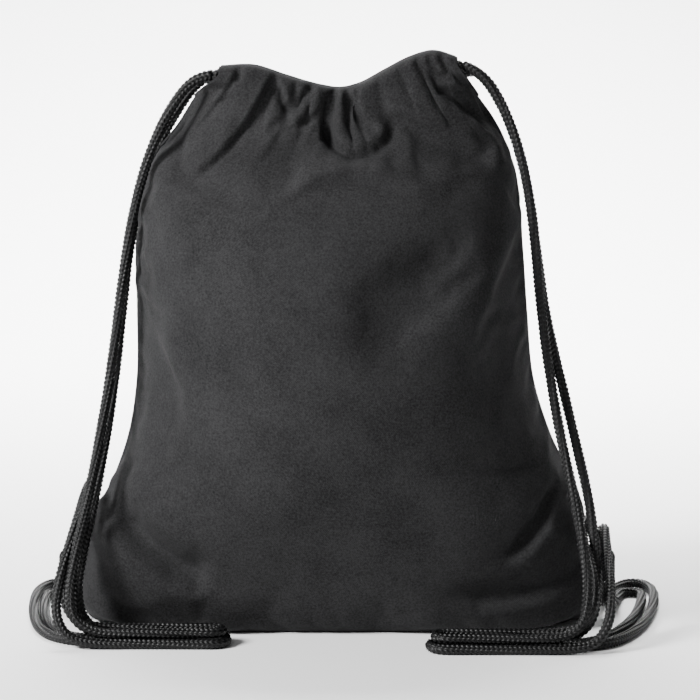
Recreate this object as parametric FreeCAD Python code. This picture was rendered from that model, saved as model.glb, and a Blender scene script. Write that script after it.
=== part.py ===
import FreeCAD, Part
import math
import os

# Drawstring backpack: a stuffed cloth bag that stands on its base, gathered shut at the top by two
# braided drawstrings that double as shoulder straps. Millimetres. +X is the right-hand shoulder,
# +Y the back panel, +Z up. The origin is the middle of the base on the ground.

# Driving dimensions
WALL = 1.3                      # cloth with its lining fold
CORD = 6.5                      # braided drawstring diameter
CORD_R = CORD / 2
CORNER_SHARE = 0.45             # part of each run that a corner's arc takes up

# Bag outline: height, left half width, right half width, half depth
LEVELS = [
    (0, 160, 161, 36),
    (5, 166, 167, 41),
    (16, 168.3, 169, 44),
    (40, 168, 168, 50),
    (68, 164.5, 164.5, 60),
    (94, 150.5, 157, 71),
    (125, 139, 142.5, 80),
    (160, 133, 131, 85),
    (210, 132, 125.5, 83),
    (250, 132, 122.5, 73),
    (285, 127, 119, 57),
    (312, 118, 112.5, 41),
    (334, 102.5, 103.5, 26),
    (352, 91, 90.5, 17),
    (370, 75, 76, 13.8),
]
SECTION_POINTS = 24
SQUARENESS = 1.9                # how much fuller than an ellipse the bag's base is in its corners
SQUARE_BELOW = 10               # full squareness up to this height
SQUARE_FADE = 105               # height over which it fades to an ellipse
CUT_ROOM = 200                  # half size of the blocks that trim the shell, larger than the bag

# Casings: the hemmed tunnels along the mouth, gathered on the cords
CASING_TOP = [(-76, 369.5), (-54, 370), (-33, 363.5), (-12, 357.5), (3, 355.5),
              (15, 358.5), (31, 367), (49, 376), (64, 379.5), (78, 375.5)]
CASING_HEIGHT = 22.4
CASING_MIDDLE_Y = 13.2
CASING_DEPTH = 17.2
CASING_WALL = 1.2
LEFT_SHOULDER_TOP = 356.5       # where the side seam stops, just under the cord exits
RIGHT_SHOULDER_TOP = 359.5

# Seams inside the bag
SEAM_THICKNESS = 2.4            # two seam allowances
SEAM_WIDTH = 8
SEAM_GAP = 0.4
SIDE_SEAM_LEVELS = (10, 40, 68, 94, 125, 160, 210, 250, 285, 312, 328)
BOTTOM_SEAM_HALF_LENGTH = 150

# Webbing loops sewn into the side seams near the base
TAB_WEBBING = 1.4
TAB_LOW = 28
TAB_HIGH = 46
TAB_HOLE_NEAR = 170.0           # distance of the hole's inner edge from the middle of the bag
TAB_HOLE_FAR = 183.9
TAB_HOLE_HALF_DEPTH = 7.6
TAB_CORNER = 4.5
TAB_STEM_INSIDE = 165.5

# Knots where each drawstring's two ends are tied together under the webbing loop
KNOT_CENTRE = (177.5, 0, 17.5)
KNOT_RADII = (7.6, 9.0, 7.6)

# Drawstring routes, left side: inside the casings, then the two free straps and their tails.
# Each strap drops to the ground, runs in along the front of the base, doubles back,
# climbs to the webbing loop and ends in the knot under it.
LEFT_CHANNEL_FRONT = [
    (-80, -16.8, 364), (-61, -16.8, 363.2), (-36, -16.5, 357.2), (-12, -16, 350.3), (4, -13.2, 348.4),
    (20, -10.3, 353.2), (43, -9.6, 362), (65, -9.7, 366), (87.8, -9.6, 365.4),
]
LEFT_FRONT_STRAP = [
    (-80, -16.8, 364), (-92, -17, 363), (-107, -17.5, 344), (-120.5, -16.4, 317), (-131, -14.2, 283),
    (-138, -12.4, 246), (-143.6, -14, 205), (-148.6, -19, 167), (-154.6, -30, 129), (-161.6, -47, 90),
    (-167, -63, 56), (-169.4, -72, 34), (-167, -76, 18), (-155, -76.8, 9.8), (-135, -77, 9.5),
    (-95, -76.2, 9.5), (-70, -76.8, 9.5), (-70, -61.6, 9.5), (-89, -62.4, 9.4), (-118, -61.6, 9.3),
    (-152, -62.6, 9.5), (-169, -63, 13.5), (-176.6, -60.4, 29), (-175.6, -53.4, 46), (-172, -43.6, 63),
    (-167.4, -35.4, 79), (-164, -23, 92), (-164.4, -10, 91), (-168.4, -4.6, 77), (-173, -3.6, 61),
    (-174.2, -3.5, 40), (-176.5, -3.4, 19),
]
LEFT_BACK_STRAP = [
    (-80, 16.8, 364), (-92, 17, 363), (-107, 16.4, 344), (-120.5, 13.4, 317), (-131, 9, 283),
    (-137.6, 4, 246), (-142, -1, 205), (-146, -7, 167), (-151.4, -18, 128), (-158.4, -33, 88),
    (-163.6, -46, 52), (-165.4, -51, 30), (-162, -53.6, 13), (-150, -55.4, 4.2), (-128, -57.4, 3.4),
    (-92, -57.8, 3.4), (-66.4, -58.2, 3.4), (-66.4, -80.4, 3.4), (-92, -80.4, 3.4), (-124, -80, 3.4),
    (-156, -80.6, 3.4), (-173, -80, 7), (-180.6, -77.4, 22), (-178.8, -67.8, 41), (-173.8, -56.4, 60),
    (-168, -45.4, 80), (-164, -31, 98), (-162.4, -12, 107), (-163.8, 2.2, 96), (-169.2, 4.2, 77),
    (-173.9, 3.5, 57), (-174.1, 3.6, 37), (-176.5, 3.4, 19),
]
LEFT_FRONT_TAIL = [
    (-175.2, 5.4, 15), (-175.4, 19, 9.5), (-176, 37, 4.4), (-177.2, 58, 3.4), (-180.4, 80, 3.4),
    (-190, 98.6, 3.4), (-203, 96, 3.4), (-208.6, 76, 3.4), (-208.2, 48, 3.4), (-205.6, 18, 3.4),
    (-200.8, -14, 3.4), (-194.6, -40, 3.4), (-184.4, -60, 3.4), (-168, -72, 3.4), (-148, -72.6, 3.4),
    (-120, -73.2, 3.4), (-93, -72.8, 3.4),
]
LEFT_BACK_TAIL = [
    (-180.8, 3.4, 14), (-184, 15, 9), (-184.8, 29, 4.8), (-184.6, 45, 3.4), (-186, 66, 3.4),
    (-201, 66.4, 3.4), (-200.6, 44, 3.4), (-197.4, 10, 3.4), (-192.4, -18, 3.4),
    (-186, -40, 3.4), (-176, -57, 3.4), (-163, -65.4, 3.4), (-146, -65.4, 3.4), (-120, -65.9, 3.4),
    (-94, -65.6, 3.4),
]

# Right side
RIGHT_CHANNEL_FRONT = [
    (82, -16.8, 369.4), (62, -16.8, 370.4), (41, -16.6, 359), (22, -16.2, 346.6), (4, -13.2, 340.4),
    (-14, -10.2, 342.4), (-37, -9.7, 350.6), (-61, -9.6, 358), (-85.8, -9.7, 361.2),
]
RIGHT_FRONT_STRAP = [
    (82, -16.8, 369.4), (94, -17.4, 366), (108.6, -18, 343), (119.6, -18.2, 312), (126.4, -18.2, 278),
    (130, -20, 244), (133.6, -25, 205), (138.6, -32, 169), (145, -44, 131), (153.6, -60, 92),
    (159.6, -75.6, 56), (160.4, -84.6, 34), (157.4, -89.8, 18), (145, -91.7, 9.9), (125, -92, 9.5),
    (88, -91.2, 9.5), (61, -91.8, 9.5), (61, -76.6, 9.5), (80, -77.4, 9.4), (108, -76.6, 9.3),
    (140, -77.6, 9.5), (158, -77.4, 12.6), (166.6, -74.6, 27), (167, -67.4, 44), (163.8, -56, 60),
    (162.2, -42, 74), (163, -26, 82.6), (165.4, -13, 79), (168.8, -7, 67.6), (173.6, -4, 54),
    (174.3, -3.5, 37), (176.5, -3.4, 19),
]
RIGHT_BACK_STRAP = [
    (82, 16.8, 369.4), (94, 17.2, 366), (109, 15.4, 343), (121, 12, 312), (128, 8, 278),
    (132, 3, 244), (138, -1, 203), (147.8, -6, 165), (158, -14, 126), (169, -28, 87),
    (172.4, -49, 51), (172, -61, 29), (167, -67.4, 12.6), (152, -70.4, 4.4), (130, -72.4, 3.4),
    (88, -72.8, 3.4), (57.4, -73.2, 3.4), (57.4, -95.2, 3.4), (88, -95.2, 3.4), (120, -94.9, 3.4),
    (151, -95.6, 3.4), (169, -94.6, 6.4), (180, -90, 19), (182.6, -77, 33), (181, -60, 43),
    (178, -43, 54), (176.4, -27, 66), (176.2, -10, 73.6), (175.4, 2.4, 65), (174.2, 3.8, 49),
    (174.2, 3.6, 34), (176.5, 3.4, 19),
]
RIGHT_FRONT_TAIL = [
    (175.6, 6, 16), (176.6, 21, 11), (181, 39, 5.8), (186.4, 59, 3.4), (193.4, 80, 3.4),
    (204.6, 98.6, 3.4), (217, 92, 3.4), (219.8, 70, 3.4), (216.8, 40, 3.4), (210.6, 6, 3.4),
    (202, -27, 3.4), (191, -54, 3.4), (178.4, -75, 3.4), (162, -86.4, 3.4), (142, -88, 3.4),
    (114, -88.3, 3.4), (86, -87.9, 3.4),
]
RIGHT_BACK_TAIL = [
    (182, 4, 15), (187, 16, 10), (189, 33, 5), (192, 49, 3.4), (196.6, 68.6, 3.4),
    (211.4, 67.6, 3.4), (208.8, 44, 3.4), (202.6, 10, 3.4), (193.8, -22, 3.4),
    (183.6, -46, 3.4), (174.6, -63.4, 3.4), (163, -76.4, 3.4), (146, -80.8, 3.4), (116, -81, 3.4),
    (86, -80.6, 3.4),
]


def vector(point):
    return FreeCAD.Vector(*point)


def smooth_curve(points):
    curve = Part.BSplineCurve()
    curve.interpolate([vector(p) for p in points])
    return curve


# The bag

def fuller(value, height):
    """Moves a sine or cosine away from zero near the base, which turns an ellipse's ends into corners."""
    share = min(1, max(0, 1 - (height - SQUARE_BELOW) / SQUARE_FADE))
    return math.copysign(abs(value) ** (2 / (2 + SQUARENESS * share)), value)


def section(height, left, right, depth):
    """One level of the bag: an ellipse, fuller in its corners near the base, as a closed smooth curve."""
    points = []
    for i in range(SECTION_POINTS):
        angle = 2 * math.pi * i / SECTION_POINTS
        half_width = right if math.cos(angle) >= 0 else left
        across = half_width * fuller(math.cos(angle), height)
        points.append(FreeCAD.Vector(across, depth * fuller(math.sin(angle), height), height))
    curve = Part.BSplineCurve()
    curve.interpolate(points, PeriodicFlag=True)
    return Part.Wire(curve.toShape())


def bag_solid(inset, lowest):
    wires = []
    for height, left, right, depth in LEVELS:
        wires.append(section(max(height, lowest), left - inset, right - inset, depth - inset))
    if inset:
        height, left, right, depth = LEVELS[-1]
        wires.append(section(height + WALL, left - inset, right - inset, depth - inset))
        del wires[1]
    return Part.makeLoft(wires, True, False)


def casing_band(low, high):
    """The area between two copies of the casing's top line, lowered by `high` and `low`."""
    upper = smooth_curve([(x, 0, z - high) for x, z in CASING_TOP]).toShape()
    lower = smooth_curve([(x, 0, z - low) for x, z in CASING_TOP]).toShape()
    left = Part.makeLine(lower.Vertexes[0].Point, upper.Vertexes[0].Point)
    right = Part.makeLine(upper.Vertexes[1].Point, lower.Vertexes[1].Point)
    return Part.Face(Part.Wire([left, upper, right, lower]))


def bag_panels():
    outside = bag_solid(0, 0)
    shell = outside.cut(bag_solid(WALL, WALL))
    room = CUT_ROOM
    above = casing_band(CASING_HEIGHT, -room)
    above.translate(FreeCAD.Vector(0, -room, 0))
    shell = shell.cut(above.extrude(FreeCAD.Vector(0, 2 * room, 0)))
    left_x = CASING_TOP[0][0]
    right_x = CASING_TOP[-1][0]
    left_top = Part.makeBox(room, 2 * room, room, FreeCAD.Vector(left_x - room, -room, LEFT_SHOULDER_TOP))
    right_top = Part.makeBox(room, 2 * room, room, FreeCAD.Vector(right_x, -room, RIGHT_SHOULDER_TOP))
    shell = shell.cut(left_top).cut(right_top)
    half = Part.makeBox(4 * room, room, 3 * room, FreeCAD.Vector(-2 * room, -room, -room))
    front = shell.common(half)
    back = shell.cut(half)
    return front, back


def casing(side):
    """One hemmed tunnel: side is -1 for the front, 1 for the back."""
    outer = casing_band(CASING_HEIGHT, 0)
    inner = casing_band(CASING_HEIGHT - CASING_WALL, CASING_WALL)
    middle = side * CASING_MIDDLE_Y
    outer.translate(FreeCAD.Vector(0, middle - CASING_DEPTH / 2, 0))
    inner.translate(FreeCAD.Vector(0, middle - CASING_DEPTH / 2 + CASING_WALL, 0))
    body = outer.extrude(FreeCAD.Vector(0, CASING_DEPTH, 0))
    tunnel = inner.extrude(FreeCAD.Vector(0, CASING_DEPTH - 2 * CASING_WALL, 0))
    return body.cut(tunnel)


def half_width(height, side):
    """Half width of the bag at a height, from the levels on either side of it."""
    column = 1 if side < 0 else 2
    for below, above in zip(LEVELS, LEVELS[1:]):
        if below[0] <= height <= above[0]:
            share = (height - below[0]) / (above[0] - below[0])
            return below[column] + share * (above[column] - below[column])
    return LEVELS[-1][column]


def side_seam(side):
    """The folded seam allowance inside one side of the bag."""
    reach = WALL + SEAM_GAP
    outer = [(side * (half_width(z, side) - reach), -SEAM_THICKNESS / 2, z) for z in SIDE_SEAM_LEVELS]
    inner = [(x - side * SEAM_WIDTH, y, z) for x, y, z in outer]
    outer_edge = smooth_curve(outer).toShape()
    inner_edge = smooth_curve(inner).toShape()
    low = Part.makeLine(vector(inner[0]), vector(outer[0]))
    high = Part.makeLine(vector(outer[-1]), vector(inner[-1]))
    face = Part.Face(Part.Wire([low, outer_edge, high, inner_edge]))
    return face.extrude(FreeCAD.Vector(0, SEAM_THICKNESS, 0))


def bottom_seam():
    corner = FreeCAD.Vector(-BOTTOM_SEAM_HALF_LENGTH, -SEAM_THICKNESS / 2, WALL)
    return Part.makeBox(2 * BOTTOM_SEAM_HALF_LENGTH, SEAM_THICKNESS, SEAM_WIDTH, corner)


def upright_block(near, far, half_depth, low, high, corner):
    """A block between two distances from the middle, with its upright edges rounded."""
    block = Part.makeBox(far - near, 2 * half_depth, high - low, FreeCAD.Vector(near, -half_depth, low))
    upright = [e for e in block.Edges if abs(e.tangentAt(e.FirstParameter).z) > 0.9]
    return block.makeFillet(corner, upright)


def tab_loop(side):
    """A folded strip of webbing whose two ends are sewn into the side seam."""
    outer = upright_block(TAB_HOLE_NEAR - TAB_WEBBING, TAB_HOLE_FAR + TAB_WEBBING,
                          TAB_HOLE_HALF_DEPTH + TAB_WEBBING, TAB_LOW, TAB_HIGH, TAB_CORNER)
    hole = upright_block(TAB_HOLE_NEAR, TAB_HOLE_FAR, TAB_HOLE_HALF_DEPTH,
                         TAB_LOW - WALL, TAB_HIGH + WALL, TAB_CORNER - TAB_WEBBING)
    stem = Part.makeBox(TAB_HOLE_NEAR - TAB_STEM_INSIDE, 2 * TAB_WEBBING, TAB_HIGH - TAB_LOW,
                        FreeCAD.Vector(TAB_STEM_INSIDE, -TAB_WEBBING, TAB_LOW))
    loop = outer.cut(hole).fuse(stem).removeSplitter()
    if side < 0:
        loop = loop.mirror(FreeCAD.Vector(0, 0, 0), FreeCAD.Vector(1, 0, 0))
    return loop


# The drawstrings

def cord_path(points):
    """Straight runs joined by tangent arcs, each as large as its two runs allow."""
    corners = [vector(p) for p in points]
    edges = []
    radii = []
    start = corners[0]
    for before, corner, after in zip(corners, corners[1:], corners[2:]):
        into = (corner - before).normalize()
        away = (after - corner).normalize()
        turn = into.getAngle(away)
        reach = CORNER_SHARE * min((corner - before).Length, (after - corner).Length)
        radius = reach / math.tan(turn / 2)
        radii.append(radius)
        bisector = (away - into).normalize()
        arc_start = corner - into * reach
        arc_end = corner + away * reach
        arc_middle = corner + bisector * (radius / math.cos(turn / 2) - radius)
        edges.append(Part.LineSegment(start, arc_start).toShape())
        edges.append(Part.Arc(arc_start, arc_middle, arc_end).toShape())
        start = arc_end
    edges.append(Part.LineSegment(start, corners[-1]).toShape())
    return Part.Wire(edges), radii


def cord(name, points):
    path, radii = cord_path(points)
    heading = vector(points[1]) - vector(points[0])
    rim = Part.Wire(Part.makeCircle(CORD_R, vector(points[0]), heading))
    tube = path.makePipeShell([rim], True, False)
    ideal = math.pi * CORD_R ** 2 * path.Length
    print("%-20s length %6.1f  tightest radius %5.1f  volume / ideal %.4f"
          % (name, path.Length, min(radii), tube.Volume / ideal))
    return tube


def channel_route(front):
    """In through the front casing, round the opposite shoulder, and back through the back casing."""
    return front + [(x, -y, z) for x, y, z in reversed(front)]


def knot(side):
    ball = Part.makeSphere(1)
    stretch = FreeCAD.Matrix()
    stretch.scale(FreeCAD.Vector(*KNOT_RADII))
    ball = ball.transformGeometry(stretch)
    x, y, z = KNOT_CENTRE
    ball.translate(FreeCAD.Vector(side * x, y, z))
    return ball


front_panel, back_panel = bag_panels()
nodes = {
    "front_panel": front_panel,
    "back_panel": back_panel,
    "front_casing": casing(-1),
    "back_casing": casing(1),
    "left_side_seam": side_seam(-1),
    "right_side_seam": side_seam(1),
    "bottom_seam": bottom_seam(),
    "left_tab_loop": tab_loop(-1),
    "right_tab_loop": tab_loop(1),
    "left_knot": knot(-1),
    "right_knot": knot(1),
}
routes = {
    "left_channel_cord": channel_route(LEFT_CHANNEL_FRONT),
    "left_front_strap": LEFT_FRONT_STRAP,
    "left_back_strap": LEFT_BACK_STRAP,
    "left_front_tail": LEFT_FRONT_TAIL,
    "left_back_tail": LEFT_BACK_TAIL,
    "right_channel_cord": channel_route(RIGHT_CHANNEL_FRONT),
    "right_front_strap": RIGHT_FRONT_STRAP,
    "right_back_strap": RIGHT_BACK_STRAP,
    "right_front_tail": RIGHT_FRONT_TAIL,
    "right_back_tail": RIGHT_BACK_TAIL,
}
for name, route in routes.items():
    nodes[name] = cord(name, route)

os.makedirs("parts", exist_ok=True)
for name, shape in nodes.items():
    box = shape.BoundBox
    print("%-20s valid %s  solids %d  volume %9.0f  x %.1f %.1f  y %.1f %.1f  z %.1f %.1f"
          % (name, shape.isValid(), len(shape.Solids), shape.Volume,
             box.XMin, box.XMax, box.YMin, box.YMax, box.ZMin, box.ZMax))
    shape.exportStep("parts/" + name + ".step")
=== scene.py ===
import bpy
import math
import numpy as np
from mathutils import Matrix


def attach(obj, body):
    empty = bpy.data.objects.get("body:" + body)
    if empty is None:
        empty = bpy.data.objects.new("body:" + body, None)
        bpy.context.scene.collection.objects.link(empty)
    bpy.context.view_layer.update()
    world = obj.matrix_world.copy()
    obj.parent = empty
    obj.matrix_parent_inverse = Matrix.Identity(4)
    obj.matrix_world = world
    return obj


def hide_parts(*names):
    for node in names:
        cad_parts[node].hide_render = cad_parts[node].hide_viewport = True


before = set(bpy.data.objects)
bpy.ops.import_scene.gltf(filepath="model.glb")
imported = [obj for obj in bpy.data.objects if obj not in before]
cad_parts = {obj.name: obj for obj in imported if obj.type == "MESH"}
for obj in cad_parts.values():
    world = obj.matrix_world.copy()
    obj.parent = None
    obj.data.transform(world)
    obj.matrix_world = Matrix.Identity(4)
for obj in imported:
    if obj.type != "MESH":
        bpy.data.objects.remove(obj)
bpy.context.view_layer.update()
scene = bpy.context.scene
MM = 0.001

# ---------------------------------------------------------------- camera and lights

# Camera: lens in millimetres, place in metres, tilt below the horizon in degrees
CAMERA_LENS = 137.4
CAMERA_PLACE = (0.0086, -1.75, 0.42)
CAMERA_DOWN = 7.73


def link(obj):
    """Puts an object into the scene."""
    scene.collection.objects.link(obj)
    return obj


def add_camera():
    data = bpy.data.cameras.new("camera")
    data.lens = CAMERA_LENS
    data.sensor_width = 36
    data.clip_end = 30
    camera = link(bpy.data.objects.new("camera", data))
    camera.location = CAMERA_PLACE
    camera.rotation_euler = (math.radians(90 - CAMERA_DOWN), 0, 0)
    scene.camera = camera


def add_light(name, location, size, power, target=(0, 0, 0.18), spread=180):
    """A round area lamp at a place, turned to a target: metres, watts and degrees."""
    data = bpy.data.lights.new(name, "AREA")
    data.shape = "DISK"
    data.size = size
    data.energy = power
    data.spread = math.radians(spread)
    lamp = link(bpy.data.objects.new(name, data))
    lamp.location = location
    aim = [t - l for t, l in zip(target, location)]
    flat = math.hypot(aim[0], aim[1])
    lamp.rotation_euler = (math.atan2(flat, -aim[2]), 0, math.atan2(aim[1], aim[0]) - math.pi / 2)


add_camera()

# ---------------------------------------------------------------- curves and meshes


def smooth_value(at, places, values):
    """A smooth curve through the given values, as an array for every place in `at`."""
    at = np.asarray(at, float)
    places = np.asarray(places, float)
    values = np.asarray(values, float)
    slope = np.gradient(values, places)
    k = np.clip(np.searchsorted(places, at) - 1, 0, len(places) - 2)
    width = places[k + 1] - places[k]
    t = np.clip((at - places[k]) / width, 0, 1)
    a = values[k]
    b = values[k + 1]
    return (a * (1 + 2 * t) * (1 - t) ** 2 + slope[k] * width * t * (1 - t) ** 2
            + b * t * t * (3 - 2 * t) - slope[k + 1] * width * t * t * (1 - t))


def lengths_along(line):
    """Distance from the start of a line to each of its points."""
    steps = np.linalg.norm(np.diff(line, axis=0), axis=1)
    return np.concatenate([[0], np.cumsum(steps)])


def evenly(line, count):
    """`count` points at equal distances along a line of points."""
    along = lengths_along(line)
    wanted = np.linspace(0, along[-1], count)
    return np.stack([np.interp(wanted, along, line[:, k]) for k in range(3)], axis=1)


def mesh_object(name, points, faces):
    """A smooth-shaded mesh from points in millimetres."""
    mesh = bpy.data.meshes.new(name)
    mesh.from_pydata((np.asarray(points) * MM).tolist(), [], [list(f) for f in faces])
    mesh.validate()
    mesh.update()
    mesh.polygons.foreach_set("use_smooth", [True] * len(mesh.polygons))
    return link(bpy.data.objects.new(name, mesh))


def grid_faces(rows, columns, closed=False):
    """Quads over a grid of rows by columns; closed joins the last column to the first."""
    r = np.arange(rows - 1)[:, None]
    c = np.arange(columns if closed else columns - 1)[None, :]
    after = (c + 1) % columns
    a = r * columns + c
    b = r * columns + after
    return np.stack([a, b, b + columns, a + columns], axis=-1).reshape(-1, 4)


def put_uv(obj, u, v, scale_u, scale_v):
    """A UV map from two numbers for each vertex, for materials that follow a thread or tape."""
    mesh = obj.data
    layer = mesh.uv_layers.new(name="UVMap")
    index = np.empty(len(mesh.loops), int)
    mesh.loops.foreach_get("vertex_index", index)
    pairs = np.stack([u[index] * scale_u, v[index] * scale_v], axis=1)
    layer.data.foreach_set("uv", pairs.ravel())


# ---------------------------------------------------------------- cords

CORD = 6.5
SQUEEZED = 2.95         # radius inside the casings, where the gathered cloth presses the braid
BRAID_COLUMNS = 8
BRAID_PITCH = 3.1
SIDES_PER_COLUMN = 6
RING_STEP = 0.52
KNOT_OUT = 177.5        # centre of a knot, from the middle of the bag
KNOT_HEIGHT = 17.5
KNOT_SIZE = 1.45
KNOT_DEPTH = 4.3
KNOT_RADIUS = 3.35      # radius of the cord in a knot

LEFT_CHANNEL_FRONT = [
    (-80, -16.8, 364), (-66, -14.4, 365), (-38, -12.8, 358.4), (-12, -12.4, 351.6), (4, -12.2, 348.6),
    (18, -8.4, 351.8), (43, -9, 359.4), (65, -9.4, 364.8), (87.8, -9.6, 365.4),
]
LEFT_FRONT_STRAP = [
    (-80, -16.8, 364), (-92, -17, 363), (-107, -17.5, 344), (-120.5, -16.4, 317), (-131, -14.2, 283),
    (-138, -12.4, 246), (-143.6, -14, 205), (-148.6, -19, 167), (-154.6, -30, 129), (-161.6, -47, 90),
    (-169, -63, 56), (-172, -72, 34), (-169.4, -76, 18.6), (-156, -76.8, 9.8), (-135, -77, 9.5),
    (-99, -76.2, 9.5), (-74, -76.8, 9.5), (-74, -61.6, 9.5), (-93, -62.4, 9.4), (-118, -61.6, 9.3),
    (-152, -62.6, 9.5), (-169, -63, 13.5), (-177.4, -60.4, 29), (-176.2, -53.4, 45), (-173, -43.6, 59),
    (-168.4, -34.4, 70), (-165, -23, 81), (-165.6, -10, 80), (-169.4, -4.6, 70), (-173, -3.6, 58),
    (-174.2, -3.5, 40), (-176.5, -3.4, 19),
]
LEFT_BACK_STRAP = [
    (-80, 16.8, 364), (-92, 17, 359), (-106, 16.4, 339), (-119.4, 13.4, 314), (-130.6, 9, 282),
    (-137.6, 4, 246), (-142, -1, 205), (-146, -7, 167), (-151.4, -18, 128), (-158.4, -33, 88),
    (-166.4, -46, 52), (-169, -51, 30), (-165.6, -53.6, 13.6), (-153, -55.4, 4.4), (-128, -57.4, 3.4),
    (-94, -57.8, 3.4), (-71, -58.2, 3.4), (-71, -80.4, 3.4), (-94, -80.4, 3.4), (-124, -80, 3.4),
    (-156, -80.6, 3.4), (-173, -80, 7), (-180.6, -77.4, 22), (-178.8, -67.8, 41), (-173.8, -56.4, 60),
    (-168.4, -45.4, 77), (-165, -31, 91), (-163.2, -12, 96), (-165, 2.2, 88), (-169.8, 4.2, 72),
    (-173.9, 3.5, 55), (-174.1, 3.6, 37), (-176.5, 3.4, 19),
]
LEFT_FRONT_TAIL = [
    (-175.2, 5.4, 15), (-175.4, 19, 9.5), (-176, 37, 4.4), (-177.2, 58, 3.4), (-180.4, 80, 3.4),
    (-190, 98.6, 3.4), (-203, 96, 3.4), (-208.6, 76, 3.4), (-208.2, 48, 3.4), (-205.6, 18, 3.4),
    (-200.8, -14, 3.4), (-194.6, -40, 3.4), (-184.4, -60, 3.4), (-168, -72, 3.4), (-148, -72.6, 3.4),
    (-120, -73.2, 3.4), (-93, -72.8, 3.4),
]
LEFT_BACK_TAIL = [
    (-180.8, 3.4, 14), (-184, 15, 9), (-184.8, 29, 4.8), (-184.6, 45, 3.4), (-186, 66, 3.4),
    (-201, 66.4, 3.4), (-200.6, 44, 3.4), (-197.4, 10, 3.4), (-192.4, -18, 3.4),
    (-186, -40, 3.4), (-176, -57, 3.4), (-163, -65.4, 3.4), (-146, -65.4, 3.4), (-120, -65.9, 3.4),
    (-94, -65.6, 3.4),
]
RIGHT_CHANNEL_FRONT = [
    (82, -16.8, 369.4), (64, -14.2, 371.4), (43, -14.2, 365), (22, -16.4, 349.6), (5, -12.4, 341.6),
    (-14, -10.8, 343.6), (-37, -9.8, 350.8), (-61, -9.6, 357.6), (-85.8, -9.7, 361.2),
]
RIGHT_FRONT_STRAP = [
    (82, -16.8, 369.4), (94, -17.4, 366), (108.6, -18, 343), (119.6, -18.2, 312), (126.4, -18.2, 278),
    (130, -20, 244), (133.6, -25, 205), (138.6, -32, 169), (145, -44, 131), (153.6, -60, 92),
    (159.6, -75.6, 56), (160.4, -84.6, 34), (157.4, -89.8, 18), (145, -91.7, 9.9), (125, -92, 9.5),
    (88, -91.2, 9.5), (63.4, -91.8, 9.5), (63.4, -76.6, 9.5), (82, -77.4, 9.4), (108, -76.6, 9.3),
    (140, -77.6, 9.5), (158, -77.4, 12.6), (165.6, -74.6, 27), (165.6, -67.4, 43), (162.5, -56, 55),
    (159.6, -42, 66), (163, -26, 73.4), (167, -13, 70), (169.4, -8.4, 61), (173.4, -4.2, 51),
    (174.3, -3.5, 37), (176.5, -3.4, 19),
]
RIGHT_BACK_STRAP = [
    (82, 16.8, 369.4), (94, 17.2, 366), (109, 15.4, 343), (121, 12, 312), (128, 8, 278),
    (132, 3, 244), (138, -1, 203), (147.4, -6, 165), (156.6, -14, 126), (165.6, -28, 87),
    (168.6, -49, 51), (168.6, -61, 29), (164, -67.4, 13), (151, -70.4, 4.4), (130, -72.4, 3.4),
    (88, -72.8, 3.4), (60, -73.2, 3.4), (60, -95.2, 3.4), (88, -95.2, 3.4), (120, -94.9, 3.4),
    (149, -95.6, 3.4), (165, -94.6, 6.4), (173.6, -90, 19), (176, -77, 33), (176.6, -60, 42),
    (176.6, -43, 51), (176.6, -27, 59), (177.4, -10, 65.6), (176.6, 2.4, 60), (174.2, 3.8, 46),
    (174.2, 3.6, 34), (176.5, 3.4, 19),
]
RIGHT_FRONT_TAIL = [
    (175.6, 6, 16), (176.6, 21, 11), (181, 39, 5.8), (186.4, 59, 3.4), (193.4, 80, 3.4),
    (204.6, 98.6, 3.4), (217, 92, 3.4), (219.8, 70, 3.4), (216.8, 40, 3.4), (210.6, 6, 3.4),
    (202, -27, 3.4), (191, -54, 3.4), (178.4, -75, 3.4), (162, -86.4, 3.4), (142, -88, 3.4),
    (114, -88.3, 3.4), (86, -87.9, 3.4),
]
RIGHT_BACK_TAIL = [
    (182, 4, 15), (187, 16, 10), (189, 33, 5), (192, 49, 3.4), (196.6, 68.6, 3.4),
    (211.4, 67.6, 3.4), (208.8, 44, 3.4), (202.6, 10, 3.4), (193.8, -22, 3.4),
    (183.6, -46, 3.4), (174.6, -63.4, 3.4), (163, -76.4, 3.4), (146, -80.8, 3.4), (116, -81, 3.4),
    (86, -80.6, 3.4),
]


def route_line(points):
    """The smooth line of a route: points read from its NURBS spline, in millimetres."""
    curve = bpy.data.curves.new("route", "CURVE")
    curve.dimensions = "3D"
    spline = curve.splines.new("NURBS")
    spline.points.add(len(points) - 1)
    for control, place in zip(spline.points, points):
        control.co = (place[0] * MM, place[1] * MM, place[2] * MM, 1)
    spline.order_u = 3
    spline.use_endpoint_u = True
    spline.resolution_u = 24
    holder = bpy.data.objects.new("route", curve)
    mesh = bpy.data.meshes.new_from_object(holder)
    line = np.array([v.co[:] for v in mesh.vertices]) / MM
    bpy.data.objects.remove(holder)
    bpy.data.curves.remove(curve)
    bpy.data.meshes.remove(mesh)
    return line


def carried_frames(line):
    """Directions across a line that turn with it and never spin about it."""
    ahead = np.gradient(line, axis=0)
    ahead /= np.linalg.norm(ahead, axis=1)[:, None]
    across = np.empty_like(line)
    first = np.cross(ahead[0], (0.31, 0.2, 0.93))
    across[0] = first / np.linalg.norm(first)
    for k in range(1, len(line)):
        side = across[k - 1] - ahead[k] * np.dot(across[k - 1], ahead[k])
        across[k] = side / np.linalg.norm(side)
    return across, np.cross(ahead, across)


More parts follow.
